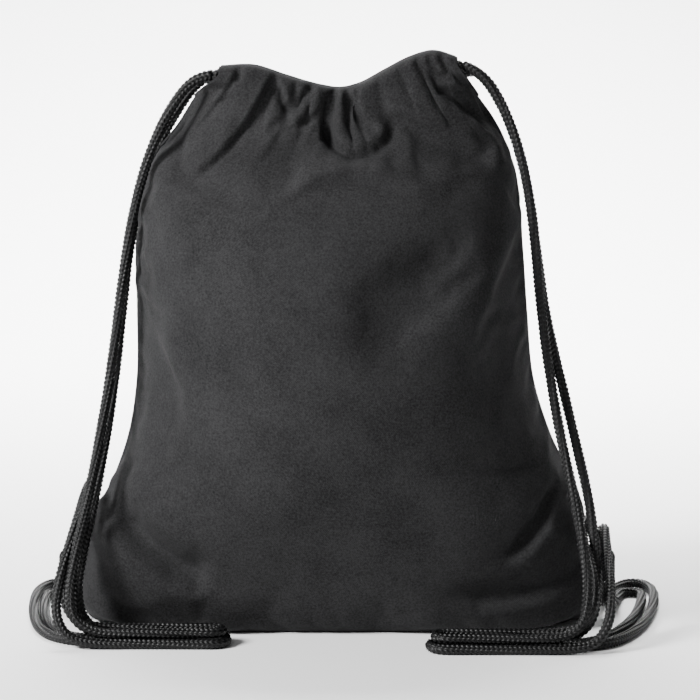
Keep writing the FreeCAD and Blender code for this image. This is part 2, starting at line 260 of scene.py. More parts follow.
def braid(name, line, radius=CORD / 2, spin=0.0, rounded=(2.2, 2.2)):
    """A braided tube: columns of slanting plaits that meet as herringbones."""
    total = lengths_along(line)[-1]
    rings = int(total / RING_STEP) + 1
    centre = evenly(line, rings)
    across, upward = carried_frames(centre)
    sides = BRAID_COLUMNS * SIDES_PER_COLUMN
    along = np.linspace(0, total, rings)[:, None]
    turn = np.arange(sides)[None, :] / sides
    column = np.floor(turn * BRAID_COLUMNS + 1e-6)
    place = turn * BRAID_COLUMNS - column
    place = np.where(column % 2 == 0, place, 1 - place)
    phase = 2 * np.pi * (along / BRAID_PITCH + 0.8 * place)
    plait = (0.5 + 0.5 * np.cos(phase)) ** 0.75
    ridge = np.sin(np.pi * np.clip(place, 0, 1)) ** 0.7
    swell = 0.35 * np.sin(along / 17 + spin) + 0.25 * np.sin(along / 41 + 2 * spin)
    reach = radius * (1 + 0.02 * swell) - 0.65 + plait * ridge
    from_end = np.minimum(along / rounded[0], (total - along) / rounded[1])
    reach = reach * np.sqrt(np.clip(1 - (1 - np.clip(from_end, 0.02, 1)) ** 2, 0, 1))
    angle = 2 * np.pi * turn + spin + along / 55
    ring = (np.cos(angle)[..., None] * across[:, None] + np.sin(angle)[..., None] * upward[:, None])
    points = centre[:, None] + reach[..., None] * ring
    points = points.reshape(-1, 3)
    faces = grid_faces(rings, sides, closed=True).tolist()
    faces.append(list(range(sides))[::-1])
    faces.append(list(range((rings - 1) * sides, rings * sides)))
    cord = mesh_object(name, points, faces)
    u = np.repeat(np.linspace(0, total, rings), sides)
    v = np.tile(np.arange(sides) / sides, rings)
    put_uv(cord, u, v, 1 / BRAID_PITCH, BRAID_COLUMNS)
    return cord, centre * MM, total * MM


def free_cord(name, points, body):
    """A strap or tail as a braided cord, attached to its body."""
    line = route_line(points)
    cord, path, length = braid(name + "_braid", line, spin=0.7 * len(name))
    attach(cord, body)
    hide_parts(name)
    return cord


def channel_cord(name, front, body):
    """The stretch in the casings: in at the front, round the opposite shoulder, out at the back."""
    line = route_line(front + [(x, -y, z) for x, y, z in reversed(front)])
    cord = braid(name + "_braid", line, radius=SQUEEZED, spin=1.1)[0]
    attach(cord, body)
    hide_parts(name)
    return cord


def knot(name, side, body):
    """Two cord ends tied together in an overhand knot, just under the webbing loop."""
    turn = np.linspace(0, 2 * np.pi, 240)
    x = (np.sin(turn) + 2 * np.sin(2 * turn)) * KNOT_SIZE
    z = (np.cos(turn) - 2 * np.cos(2 * turn)) * KNOT_SIZE
    y = -np.sin(3 * turn) * KNOT_DEPTH
    line = np.stack([side * (KNOT_OUT + x), y, KNOT_HEIGHT + z], axis=1)
    cord = braid(name + "_tied", line, radius=KNOT_RADIUS, rounded=(0.5, 0.5))[0]
    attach(cord, body)
    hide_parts(name)
    return cord


# ---------------------------------------------------------------- the cloth bag

# Outline of the bag: height, left half width, right half width, half depth
LEVELS = [
    (0, 160, 161, 36), (5, 166, 167, 41), (16, 168.3, 169, 44), (40, 168, 168, 50),
    (68, 164.5, 164.5, 60), (94, 150.5, 157, 71), (125, 139, 142.5, 80), (160, 133, 131, 85),
    (210, 132, 125.5, 83), (250, 132, 122.5, 73), (285, 127, 119, 57), (312, 118, 112.5, 41),
    (334, 102.5, 103.5, 26), (352, 91, 90.5, 17), (370, 75, 76, 13.8),
]
CASING_TOP = [(-76, 369.5), (-54, 370), (-33, 363.5), (-12, 357.5), (3, 355.5),
              (15, 358.5), (31, 367), (49, 376), (64, 379.5), (78, 375.5)]
CASING_LEFT = CASING_TOP[0][0]
CASING_RIGHT = CASING_TOP[-1][0]
CASING_HEIGHT = 22.4
CROWN = 5.2             # height of the rounded fold along the casing's top
CASING_NEAR = 5.2       # distance of a casing's inner wall from the middle
FLAT_WIDTH = 355
FLAT_LENGTH = 440
COLUMNS = 104
ROWS = 116
WALL_ROWS = 14
CROWN_ROWS = 5
GATHER_ROWS = 12        # rows of cloth that are drawn toward the casing's foot
GATHER_STEP = 3.3
CLOTH_THICKNESS = 0.7
SEAM_HALF = 1.1         # half thickness of a folded seam
SEAM_RINGS = 90
HEIGHTS = [level[0] for level in LEVELS]

# Base: how much fuller than an ellipse it is, up to which height, and over what height that fades
SQUARENESS = 1.9
SQUARE_BELOW = 10
SQUARE_FADE = 105


def squareness(z):
    """How square the bag is in plan: 2 is an ellipse, more has fuller corners."""
    return 2 + SQUARENESS * np.clip(1 - (np.asarray(z, float) - SQUARE_BELOW) / SQUARE_FADE, 0, 1)


def outline(z):
    """Left half width, right half width and half depth at the heights z."""
    return [smooth_value(z, HEIGHTS, [level[k] for level in LEVELS]) for k in (1, 2, 3)]


def seam_line(side):
    """One side seam from the corner of the base to the shoulder, in millimetres."""
    z = np.linspace(3, 350, 300)
    left, right, depth = outline(z)
    x = -left if side < 0 else right
    line = np.stack([x, 0 * x, z], axis=1)
    start = np.array([[side * 150.0, 0, 0.9], [side * 158.0, 0, 0.9]])
    return np.concatenate([start, line])


def mouth_places(count):
    """Where each column of cloth meets the casing's top: bunched unevenly on the cords."""
    share = np.linspace(0, 1, count)
    share = share + 0.012 * np.sin(2 * np.pi * share * 3) * np.sin(np.pi * share)
    return CASING_LEFT + (CASING_RIGHT - CASING_LEFT) * share


def casing_top(x):
    """Height of the casing's top edge at x."""
    places = [p[0] for p in CASING_TOP]
    heights = [p[1] for p in CASING_TOP]
    return smooth_value(np.clip(x, CASING_LEFT, CASING_RIGHT), places, heights)


# Pleats along the mouth: place across it, width and depth, in millimetres
FRONT_PLEATS = [(-63, 3.0, 2.6), (-49, 4.0, 0.8), (-39, 3.0, 3.2), (-26, 3.0, 3.0), (-16, 2.8, 3.6),
                (-1, 3.0, 5.6), (7, 2.4, 5.2), (13, 2.4, 3.2), (27, 3.6, 1.6), (41, 3.4, 1.4),
                (52, 3.0, 3.4), (60, 2.6, 2.0), (68, 3.0, 4.0)]
BACK_PLEATS = [(-68, 6, 2.0), (-57, 4.5, 3.0), (-46, 5, 3.4), (-35, 4.2, 4.4), (-24, 4, 3.6),
               (-13, 4.4, 4.6), (-3, 4, 4.2), (7, 4.6, 4.8), (17, 4, 4.0), (27, 4.4, 4.4),
               (37, 4.2, 3.6), (47, 4.6, 3.8), (57, 4, 3.2), (67, 4.6, 2.8)]


def pleat_depth(x, pleats):
    """How far the cloth dips inward at x along the mouth."""
    total = np.zeros_like(x)
    for place, width, depth in pleats:
        total += depth * np.exp(-((x - place) / width * 1.35) ** 2)
    return total


def casing_foot(x, pleats):
    """Lower edge of the casing: points between the two side seams, for places x along its top."""
    share = (x - CASING_LEFT) / (CASING_RIGHT - CASING_LEFT)
    across = -88 + 177 * share
    bow = np.sqrt(np.clip(1 - np.abs(2 * share - 1) ** 6, 0, 1))
    away = (23.4 - pleat_depth(x, pleats)) * bow
    flare = np.clip(np.abs(2 * share - 1) - 0.8, 0, 1) / 0.2
    z = casing_top(x) - CASING_HEIGHT + 1 + 1.5 * flare
    return np.stack([across, away, z], axis=1)


def panel_grid(side, pleats):
    """Start shape of one panel: rows of points from the bottom seam to the mouth."""
    left = evenly(seam_line(-1), ROWS)
    right = evenly(seam_line(1), ROWS)
    z = np.linspace(0, 345, 400)
    depth = outline(z)[2]
    middle = np.stack([0 * z, depth, z], axis=1)
    middle = np.concatenate([np.array([[0, 0, 0.0]]), middle])
    keep = middle[:, 2] <= 332
    middle = evenly(middle[keep], ROWS)
    angle = np.linspace(0, np.pi, COLUMNS + 1)
    grid = np.zeros((ROWS, COLUMNS + 1, 3))
    for row in range(ROWS):
        zl, zr, zm = left[row, 2], right[row, 2], middle[row, 2]
        bow = np.sin(angle) ** 0.7
        side_z = zl + (zr - zl) * (0.5 - 0.5 * np.cos(angle))
        height = side_z + (zm - side_z) * bow
        lw, rw, dp = outline(height)
        across = np.where(angle < np.pi / 2, -lw, rw)
        stretch = np.where(angle < np.pi / 2, left[row, 0] / -outline(zl)[0], right[row, 0] / outline(zr)[1])
        power = 2 / squareness(height)
        ring_x = across * np.abs(np.cos(angle)) ** power * (stretch + (1 - stretch) * bow)
        ring_y = middle[row, 1] * np.sin(angle) ** power
        ring_y = ring_y * np.where(zm < 1, 1, dp / np.maximum(middle[row, 1], 1))
        ring = np.stack([ring_x, ring_y, height], axis=1)
        grid[row] = evenly(ring, COLUMNS + 1)
    top = casing_foot(mouth_places(COLUMNS + 1), pleats)
    top[0] = left[-1]
    top[-1] = right[-1]
    for step in range(GATHER_ROWS):
        row = ROWS - 1 - step
        weight = (1 - step / GATHER_ROWS) ** 2
        fall = np.linspace(0, 1, GATHER_ROWS)[step] * GATHER_ROWS * GATHER_STEP
        guide = top.copy()
        guide[:, 2] -= fall
        guide[:, 0] *= 1 + fall / 300
        grid[row, 1:-1] = grid[row, 1:-1] * (1 - weight) + guide[1:-1] * weight
    grid[:, :, 1] *= side
    return grid


def make_shell():
    """Both panels with their casings, creased and sewn together along the sides and the bottom."""
    grids = []
    uppers = []
    for side, pleats, folds in ((-1, FRONT_PLEATS, FRONT_FOLDS), (1, BACK_PLEATS, BACK_FOLDS)):
        grid, upper = with_casing(panel_grid(side, pleats), side, pleats)
        grids.append(folded(grid, side, folds))
        uppers.append(upper)
    rows = len(grids[0])
    index = np.zeros((2, rows, COLUMNS + 1), int)
    points = []
    for number, grid in enumerate(grids):
        for row in range(rows):
            for column in range(COLUMNS + 1):
                sewn = row == 0 or (column in (0, COLUMNS) and row < ROWS)
                if number == 1 and sewn:
                    index[1, row, column] = index[0, row, column]
                    continue
                index[number, row, column] = len(points)
                points.append(grid[row, column])
    faces = np.concatenate([sheet_faces(index[0]), sheet_faces(index[1])[:, ::-1]])
    return np.array(points), faces, index, uppers


def sheet_faces(index):
    """Quads between the numbered points of a grid."""
    corners = [index[:-1, :-1], index[:-1, 1:], index[1:, 1:], index[1:, :-1]]
    return np.stack(corners, axis=-1).reshape(-1, 4)


def folded(grid, side, folds):
    """Puts a list of creases into one panel, but not into the part that it stands on."""
    rows, columns = grid.shape[:2]
    local = grid.reshape(-1, 3)
    faces = grid_faces(rows, columns)
    if side > 0:
        faces = faces[:, ::-1]
    crown = np.clip((rows - 1 - np.arange(rows)) / (CROWN_ROWS + 2), 0, 1)
    seam = np.clip(np.minimum(np.arange(columns), columns - 1 - np.arange(columns)) / 5, 0, 1)
    hold = (crown[:, None] * seam[None, :]).reshape(-1, 1)
    for fold in folds:
        moved = crease(local, point_normals(local, faces), **fold)
        keep = np.clip((local[:, 2] - 1) / 6, 0, 1)[:, None]
        local = local + (moved - local) * keep * hold
    grid = local.reshape(rows, columns, 3)
    grid[..., 2] = np.maximum(grid[..., 2], 0.7)
    wall = slice(ROWS, ROWS + WALL_ROWS + 1)
    least = cord_clearance(grid[wall, :, 0])
    inner = slice(6, -6)
    out = np.abs(grid[wall, inner, 1])
    soft = 1.2
    over = (out - least[:, inner]) / soft
    grid[wall, inner, 1] = side * (least[:, inner] + soft * np.log1p(np.exp(np.clip(over, -30, 30))))
    return grid


SIM_FRAMES = 22
SPARE_CLOTH = 0.035     # share by which the cloth is longer than its start shape
MOST_MOVE = 7.0         # farthest that a point may move, in millimetres


def simulate(points, faces, pins):
    """Fills the sewn bag: pushed out from inside, its spare cloth settles into soft wrinkles."""
    shell = mesh_object("bag_start", points, faces)
    group = shell.vertex_groups.new(name="pins")
    for weight in np.unique(pins):
        if weight > 0:
            group.add(np.nonzero(pins == weight)[0].tolist(), float(weight), "REPLACE")
    cloth = shell.modifiers.new("cloth", "CLOTH")
    settings = cloth.settings
    settings.quality = 5
    settings.mass = 0.3
    settings.tension_stiffness = 30
    settings.compression_stiffness = 30
    settings.shear_stiffness = 10
    settings.bending_stiffness = 1.2
    settings.tension_damping = 12
    settings.compression_damping = 12
    settings.shear_damping = 12
    settings.bending_damping = 1
    settings.use_pressure = True
    settings.uniform_pressure_force = 2.5
    settings.vertex_group_mass = "pins"
    settings.shrink_min = -SPARE_CLOTH
    settings.effector_weights.gravity = 0
    cloth.collision_settings.use_collision = False
    cloth.collision_settings.use_self_collision = False
    cloth.point_cache.frame_start = 1
    cloth.point_cache.frame_end = SIM_FRAMES
    for number in range(1, SIM_FRAMES + 1):
        scene.frame_set(number)
    settled = shell.evaluated_get(bpy.context.evaluated_depsgraph_get())
    result = np.empty(len(points) * 3)
    settled.data.vertices.foreach_get("co", result)
    scene.frame_set(1)
    mesh = shell.data
    bpy.data.objects.remove(shell)
    bpy.data.meshes.remove(mesh)
    return result.reshape(-1, 3) / MM


def filled_bag():
    """The sewn bag after its cloth has settled, moved no farther than MOST_MOVE anywhere."""
    points, faces, index, uppers = make_shell()
    pins = np.zeros(len(points))
    pins[points[:, 2] < 1.2] = 1.0
    pins[index[0, :ROWS, 0]] = 1.0
    pins[index[0, :ROWS, COLUMNS]] = 1.0
    pins[index[0, 0]] = 1.0
    for number in (0, 1):
        pins[index[number, ROWS - 1:]] = 1.0
    move = simulate(points, faces, pins) - points
    far = np.linalg.norm(move, axis=1)
    move *= (MOST_MOVE * np.tanh(far / MOST_MOVE) / np.maximum(far, 1e-6))[:, None]
    return points + move, index, uppers


def crease(points, normals, path, depth, width, bulge=0.0, bulge_side=1, bulge_width=9.0, taper=0.5):
    """Moves cloth along its normals: a valley beside a line of (x, z) points, and a swelling next to it."""
    x = points[:, 0]
    z = points[:, 2]
    best = np.full(len(x), 1e9)
    signed = np.zeros(len(x))
    along = np.zeros(len(x))
    line = np.array(path, float)
    steps = np.linalg.norm(np.diff(line, axis=0), axis=1)
    total = steps.sum()
    done = 0.0
    for a, b, step in zip(line, line[1:], steps):
        run = (b - a) / step
        t = np.clip((x - a[0]) * run[0] + (z - a[1]) * run[1], 0, step)
        dx = x - a[0] - t * run[0]
        dz = z - a[1] - t * run[1]
        far = np.hypot(dx, dz)
        nearer = far < best
        best = np.where(nearer, far, best)
        signed = np.where(nearer, np.where(run[0] * dz - run[1] * dx >= 0, far, -far), signed)
        along = np.where(nearer, (done + t) / total, along)
        done += step
    ends = np.clip(np.minimum(along, 1 - along) / taper, 0, 1)
    fade = ends * ends * (3 - 2 * ends) * 0.85 + 0.15
    fade = fade * np.exp(-np.clip(best - 3 * width, 0, None) / 20)
    beside = signed * bulge_side
    steep = np.exp(-(np.clip(beside, 0, None) / (0.55 * width)) ** 2)
    valley = -depth * np.where(beside < 0, np.exp(-(beside / width) ** 2), steep)
    past = np.clip(beside, 0, None) / bulge_width
    swell = bulge * (1 - steep) * np.exp(-np.where(beside < 0, 0, past) ** 2)
    amount = (valley + swell) * fade
    return points + normals * amount[:, None]


def point_normals(points, faces):
    """Outward directions at the points, from the quads around them."""
    normals = np.zeros_like(points)
    faces = np.asarray(faces)
    a, b, c, d = (points[faces[:, k]] for k in range(4))
    face_normal = np.cross(c - a, d - b)
    for k in range(4):
        np.add.at(normals, faces[:, k], face_normal)
    return normals / np.maximum(np.linalg.norm(normals, axis=1), 1e-9)[:, None]


FRONT_FOLDS = [
    dict(path=[(-2, 358), (-3, 346), (-5, 335), (-4, 326), (1, 318)], depth=7.5, width=4.6, bulge=2.5,
         bulge_side=1, bulge_width=7, taper=0.2),
    dict(path=[(-5, 330), (-1, 319), (9, 313), (22, 315), (32, 323), (37, 336)], depth=4.5, width=4,
         bulge=5.5, bulge_side=1, bulge_width=10, taper=0.2),
    dict(path=[(8, 357), (10, 347), (15, 337), (22, 332), (30, 332)], depth=4, width=3.4, bulge=2,
         bulge_side=1, bulge_width=6, taper=0.25),
    dict(path=[(-13, 360), (-20, 350), (-29, 339)], depth=5, width=3.4, bulge=2, bulge_side=1,
         bulge_width=6, taper=0.2),
    dict(path=[(-38, 358), (-34, 347), (-29, 339)], depth=4, width=3.4, bulge=1.5, bulge_side=1,
         bulge_width=6, taper=0.2),
    dict(path=[(-38, 340), (-28, 332), (-15, 336), (-8, 346)], depth=1.6, width=4, bulge=2.6,
         bulge_side=1, bulge_width=8, taper=0.3),
    dict(path=[(-40, 365), (-46, 352), (-56, 334), (-71, 316), (-86, 303), (-96, 300)], depth=2.4,
         width=2.6, bulge=3.4, bulge_side=-1, bulge_width=22, taper=0.12),
    dict(path=[(-92, 299), (-101, 307), (-101, 328)], depth=1.6, width=4, bulge=1.5, bulge_side=-1,
         bulge_width=8, taper=0.35),
    dict(path=[(-62, 369), (-64, 359)], depth=3, width=2.4, taper=0.2),
    dict(path=[(-34, 279), (-22, 287), (-8, 294), (10, 297), (46, 293)], depth=1.6, width=6, bulge=4,
         bulge_side=1, bulge_width=20, taper=0.3),
    dict(path=[(24, 352), (34, 338), (60, 326), (92, 310), (108, 292)], depth=4, width=8, bulge=4,
         bulge_side=1, bulge_width=18, taper=0.3),
    dict(path=[(54, 374), (62, 362), (70, 354), (88, 340), (104, 320)], depth=4, width=4.6, bulge=3,
         bulge_side=-1, bulge_width=12, taper=0.3),
    dict(path=[(74, 366), (68, 358), (66, 350)], depth=3, width=2.8, taper=0.3),
    dict(path=[(-150, 86), (-140, 77), (-124, 62), (-104, 48), (-78, 39)], depth=11, width=13, bulge=7.5,
         bulge_side=-1, bulge_width=20, taper=0.2),
    dict(path=[(-150, 26), (-136, 18), (-112, 12)], depth=3, width=6, bulge=2, bulge_side=1,
         bulge_width=9, taper=0.4),
    dict(path=[(150, 104), (144, 93), (134, 78), (121, 64), (108, 56)], depth=7.5, width=6, bulge=4.5,
         bulge_side=1, bulge_width=24, taper=0.25),
    dict(path=[(160, 44), (140, 34), (118, 30), (92, 27), (64, 32)], depth=6, width=10, bulge=3.5,
         bulge_side=1, bulge_width=10, taper=0.35),
    dict(path=[(-96, 200), (-60, 176), (-40, 150)], depth=1.4, width=18, bulge=1.2, bulge_side=1,
         bulge_width=24),
    dict(path=[(60, 220), (88, 180), (96, 140)], depth=1.4, width=18, bulge=1.2, bulge_side=1,
         bulge_width=24),
]
BACK_FOLDS = [
    dict(path=[(2, 356), (4, 340), (-3, 318)], depth=9, width=4.2, bulge=3, bulge_side=1, bulge_width=9,
         taper=0.2),
    dict(path=[(-30, 360), (-40, 335), (-62, 312)], depth=6, width=4.5, bulge=5, bulge_side=1,
         bulge_width=12, taper=0.2),
    dict(path=[(36, 366), (44, 340), (70, 312)], depth=6, width=4.5, bulge=5, bulge_side=-1,
         bulge_width=12, taper=0.2),
    dict(path=[(-58, 366), (-72, 346), (-90, 322)], depth=4, width=4, bulge=3, bulge_side=1, taper=0.3),
    dict(path=[(-20, 290), (10, 297), (44, 288)], depth=3.5, width=7, bulge=4, bulge_side=-1,
         bulge_width=16, taper=0.35),
    dict(path=[(-154, 84), (-132, 66), (-104, 48)], depth=8, width=7, bulge=7, bulge_side=-1,
         bulge_width=17, taper=0.3),
    dict(path=[(154, 78), (130, 62), (98, 40)], depth=8, width=7, bulge=7, bulge_side=1,
         bulge_width=17, taper=0.3),
    dict(path=[(-156, 30), (-120, 22), (-84, 20)], depth=4, width=7, bulge=4, bulge_side=1, taper=0.35),
    dict(path=[(158, 30), (128, 24), (92, 16)], depth=4, width=7, bulge=4, bulge_side=1, taper=0.35),
]


def with_casing(grid, side, pleats):
    """Adds the front wall and crown of the casing to a panel's rows of points."""
    x = mouth_places(COLUMNS + 1)
    low = grid[-1]
    top = casing_top(x)
    upper = np.maximum(22.6 - 0.85 * pleat_depth(x, pleats), cord_clearance(x))
    rows = []
    for h in np.linspace(0, 1, WALL_ROWS + 1)[1:]:
        ease = np.clip(1.5 * h, 0, 1)
        ease = ease * ease * (3 - 2 * ease)
        y = np.abs(low[:, 1]) * (1 - ease) + upper * ease
        rows.append(np.stack([low[:, 0] * (1 - h) + x * h, side * y,
                              low[:, 2] * (1 - h) + (top - CROWN) * h], axis=1))
    for turn in np.linspace(0, np.pi / 2, CROWN_ROWS + 1)[1:]:
        rows.append(crown_row(x, side, upper, top, turn))
    whole = np.concatenate([grid, np.array(rows)])
    for _ in range(6):
        for row in range(ROWS - 4, ROWS + 4):
            soft = (whole[row - 1] + whole[row + 1]) / 2
            whole[row, 1:-1] = (0.5 * whole[row] + 0.5 * soft)[1:-1]
    return whole, upper


def crown_row(x, side, upper, top, turn):
    """One line of the rounded fold along the top of a casing."""
    middle = (upper + CASING_NEAR) / 2
    y = middle + (upper - middle) * np.cos(turn)
    return np.stack([x, side * y, top - CROWN + CROWN * np.sin(turn)], axis=1)


def cord_clearance(x):
    """How far the casing's outer wall has to stay from the middle to clear the cords inside."""
    end = np.clip((np.abs(x - 1) - 58) / 18, 0, 1)
    crossing = np.exp(-((x - 23) / 12) ** 2)
    return 17.4 + 3.6 * end + 2.2 * crossing


def finish_cloth(obj):
    """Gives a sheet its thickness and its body."""
    finer = obj.modifiers.new("finer", "SUBSURF")
    finer.levels = 1
    finer.render_levels = 1
    thick = obj.modifiers.new("thick", "SOLIDIFY")
    thick.thickness = CLOTH_THICKNESS * MM
    thick.offset = -1
    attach(obj, "bag")


def panel_piece(name, points, index, number):
    """One panel as cloth: from the bottom seam up over the casing's front wall to its crown."""
    rows, columns = index.shape[1:]
    grid = points[index[number].ravel()].reshape(rows, columns, 3)
    grid[..., 2] = np.maximum(grid[..., 2], 0.7)
    faces = grid_faces(rows, columns)
    if number == 1:
        faces = faces[:, ::-1]
    panel = mesh_object(name + "_cloth", grid.reshape(-1, 3), faces.tolist())
    column = np.tile(np.arange(columns) / (columns - 1) * FLAT_WIDTH, rows)
    row = np.repeat(np.arange(rows) * FLAT_LENGTH / rows, columns)
    put_uv(panel, column, row, 1.0, 1.0)
    finish_cloth(panel)
    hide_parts(name)
    return panel, grid


def hem_piece(name, side, pleats, grid, upper):
    """The part of the casing that is folded inside: from the crown down to the row of stitches."""
    x = mouth_places(COLUMNS + 1)
    top = casing_top(x)
    low = grid[ROWS - 1]
    rows = [grid[-1]]
    for turn in np.linspace(np.pi / 2, np.pi, CROWN_ROWS + 1)[1:]:
        rows.append(crown_row(x, side, upper, top, turn))
    for h in np.linspace(0, 1, 9)[1:]:
        across = x * (1 - h) + low[:, 0] * h
        y = np.minimum(CASING_NEAR, np.maximum(np.abs(low[:, 1]) - 2, 0.6))
        y = CASING_NEAR * (1 - h) + y * h
        rows.append(np.stack([across, side * y, (top - CROWN) * (1 - h) + (low[:, 2] + 1) * h], axis=1))
    last = rows[-1]
    reach = np.maximum(np.abs(low[:, 1]) - 1.6, np.abs(last[:, 1]))
    for h in (0.4, 0.8, 1.0):
        y = np.abs(last[:, 1]) * (1 - h) + reach * h
        rows.append(np.stack([last[:, 0], side * y, last[:, 2] - 1.5 * h], axis=1))
    points = np.array(rows)
    faces = grid_faces(len(rows), COLUMNS + 1)
    if side > 0:
        faces = faces[:, ::-1]
    hem = mesh_object(name + "_hem", points.reshape(-1, 3), faces.tolist())
    put_uv(hem, np.tile(np.arange(COLUMNS + 1) / COLUMNS * FLAT_WIDTH, len(rows)),
           np.repeat(np.arange(len(rows)) * 3.0, COLUMNS + 1), 1, 1)
    finish_cloth(hem)
    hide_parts(name)
    return hem


def seam_profile(start, end):
    """Outline of a folded seam, from where it is sewn to its rounded edge."""
    return [(start, SEAM_HALF), (3, SEAM_HALF + 0.2), (end - 0.6, SEAM_HALF), (end, 0),
            (end - 0.6, -SEAM_HALF), (3, -SEAM_HALF - 0.2), (start, -SEAM_HALF)]


def strip_piece(name, points, rings):
    """Closes rings of points into one folded seam."""
    sides = len(points) // rings
    faces = grid_faces(rings, sides, closed=True).tolist()
    faces.append(list(range(sides))[::-1])
    faces.append(list(range((rings - 1) * sides, rings * sides)))
    strip = mesh_object(name + "_folded", points, faces)
    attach(strip, "bag")
    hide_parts(name)
    return strip


def seam_strip(name, line, inward):
    """Folded seam allowance inside the bag, along a line of points, with overlocked waves in its edge."""
    line = evenly(line, SEAM_RINGS)
    points = []
    for k, place in enumerate(line):
        wave = 0.5 * math.sin(k * 0.9)
        for inset, y in seam_profile(0.2, 8):
            points.append(place + inward * (inset + wave * inset / 8) + np.array([0, y + 0.4 * wave, 0]))
    return strip_piece(name, points, SEAM_RINGS)


def bottom_strip(name):
    """The folded seam that stands on the inside of the bag's floor."""
    points = []
    for k, x in enumerate(np.linspace(-150, 150, SEAM_RINGS)):
        wave = 0.5 * math.sin(k * 0.9)
        for up, y in seam_profile(0, 7.6):
            points.append(np.array([x, y + 0.4 * wave, 1.4 + up]))
    return strip_piece(name, points, SEAM_RINGS)


def tab_piece(name, side):
    """A strip of ribbed webbing folded into a loop, its two ends sewn together into the side seam."""
    near, far, half, corner, inset = 170.0, 183.9, 7.6, 3.6, 0.7
    line = [(165.7, 0.75), (168.4, 0.8), (169.3, 1.6), (169.4, 3.6)]
    middle = half - corner + inset
    for cx, cy, begin in ((near - inset + corner, middle, 180), (far + inset - corner, middle, 90)):
        for k in range(9):
            a = math.radians(begin - 90 * k / 8)
            line.append((cx + corner * math.cos(a), cy + corner * math.sin(a)))
    line = np.array(line + [(x, -y) for x, y in reversed(line)])
    path = np.stack([line[:, 0], line[:, 1], 0 * line[:, 0]], axis=1)
    path = evenly(path, 120)
    across = np.gradient(path, axis=0)
    across /= np.linalg.norm(across, axis=1)[:, None]
    normal = np.cross(across, (0, 0, 1))
    low, high = 28.2, 45.8
    ribs = 9
    widths = np.linspace(low, high, 4 * ribs + 1)
    rows = []
    for place, out in zip(path, normal):
        rib = 0.12 * np.cos(np.linspace(0, 2 * np.pi * ribs, len(widths)))
        edge = np.clip(np.minimum(widths - low, high - widths) / 1.2, 0, 1)
        thick = 0.28 + 0.36 * np.sqrt(edge) + rib * edge
        front = [(place[0] + out[0] * t, place[1] + out[1] * t, w) for t, w in zip(thick, widths)]
        back = [(place[0] - out[0] * t, place[1] - out[1] * t, w) for t, w in zip(thick, widths)]
        rows.append(front + back[::-1])
    grid = np.array(rows)
    grid[..., 0] *= side
    count = grid.shape[1]
    faces = grid_faces(len(grid), count, closed=True)
    if side < 0:
        faces = faces[:, ::-1]
    faces = faces.tolist()
    faces.append(list(range(count)))
    faces.append(list(range((len(grid) - 1) * count, len(grid) * count))[::-1])
    tab = mesh_object(name + "_webbing", grid.reshape(-1, 3), faces)
    around = np.repeat(np.linspace(0, 70, len(grid)), count)
    put_uv(tab, around, np.tile(np.linspace(0, 36, count), len(grid)), 1, 1)
    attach(tab, "bag")
    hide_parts(name)
    return tab


# ---------------------------------------------------------------- materials


def new_material(name):
    """A material with its node tree and its main shader."""
    material = bpy.data.materials.new(name)
    material.use_nodes = True
    tree = material.node_tree
    shader = next(n for n in tree.nodes if n.type == "BSDF_PRINCIPLED")
    return material, tree, shader


def node(tree, kind, **values):
    """A shader node with the given inputs or settings."""
    made = tree.nodes.new(kind)
    for key, value in values.items():
        if key in made.inputs:
            made.inputs[key].default_value = value
        else:
            setattr(made, key, value)
    return made


def cloth_material():
    """Charcoal cotton twill: fine diagonal ribs, slight unevenness in the dye and a soft nap."""
    material, tree, shader = new_material("charcoal_twill")
    link_nodes = tree.links.new
    shader.inputs["Roughness"].default_value = 0.86
    shader.inputs["Specular IOR Level"].default_value = 0.08
    shader.inputs["Sheen Weight"].default_value = 0.02
    shader.inputs["Sheen Roughness"].default_value = 0.45
    shader.inputs["Sheen Tint"].default_value = (0.7, 0.7, 0.72, 1)
    place = tree.nodes.new("ShaderNodeTexCoord")
    patches = node(tree, "ShaderNodeTexNoise", Scale=24.0, Detail=4.0, Roughness=0.6)
    grain = node(tree, "ShaderNodeTexNoise", Scale=760.0, Detail=2.5, Roughness=0.7)
    mixed = node(tree, "ShaderNodeMath", operation="MULTIPLY_ADD")
    mixed.inputs[1].default_value = 0.45
    ramp = tree.nodes.new("ShaderNodeValToRGB")
    ramp.color_ramp.elements[0].position = 0.4
    ramp.color_ramp.elements[0].color = (0.004, 0.004, 0.0041, 1)
    ramp.color_ramp.elements[1].position = 0.9
    ramp.color_ramp.elements[1].color = (0.0245, 0.0245, 0.0253, 1)
    link_nodes(place.outputs["Object"], patches.inputs["Vector"])
    link_nodes(place.outputs["Object"], grain.inputs["Vector"])
    link_nodes(patches.outputs["Fac"], mixed.inputs[0])
    link_nodes(grain.outputs["Fac"], mixed.inputs[2])
    link_nodes(mixed.outputs[0], ramp.inputs["Fac"])
    link_nodes(ramp.outputs["Color"], shader.inputs["Base Color"])
    twill = node(tree, "ShaderNodeTexWave", wave_type="BANDS", bands_direction="DIAGONAL")
    twill.inputs["Scale"].default_value = 0.55
    twill.inputs["Distortion"].default_value = 0.6
    twill.inputs["Detail"].default_value = 1.0
    link_nodes(place.outputs["UV"], twill.inputs["Vector"])
    height = node(tree, "ShaderNodeMath", operation="MULTIPLY_ADD")
    height.inputs[1].default_value = 0.6
    link_nodes(grain.outputs["Fac"], height.inputs[0])
    link_nodes(twill.outputs["Fac"], height.inputs[2])
    bump = tree.nodes.new("ShaderNodeBump")
    bump.inputs["Strength"].default_value = 0.32
    bump.inputs["Distance"].default_value = 0.0003
    link_nodes(height.outputs[0], bump.inputs["Height"])
    link_nodes(bump.outputs["Normal"], shader.inputs["Normal"])
    return material


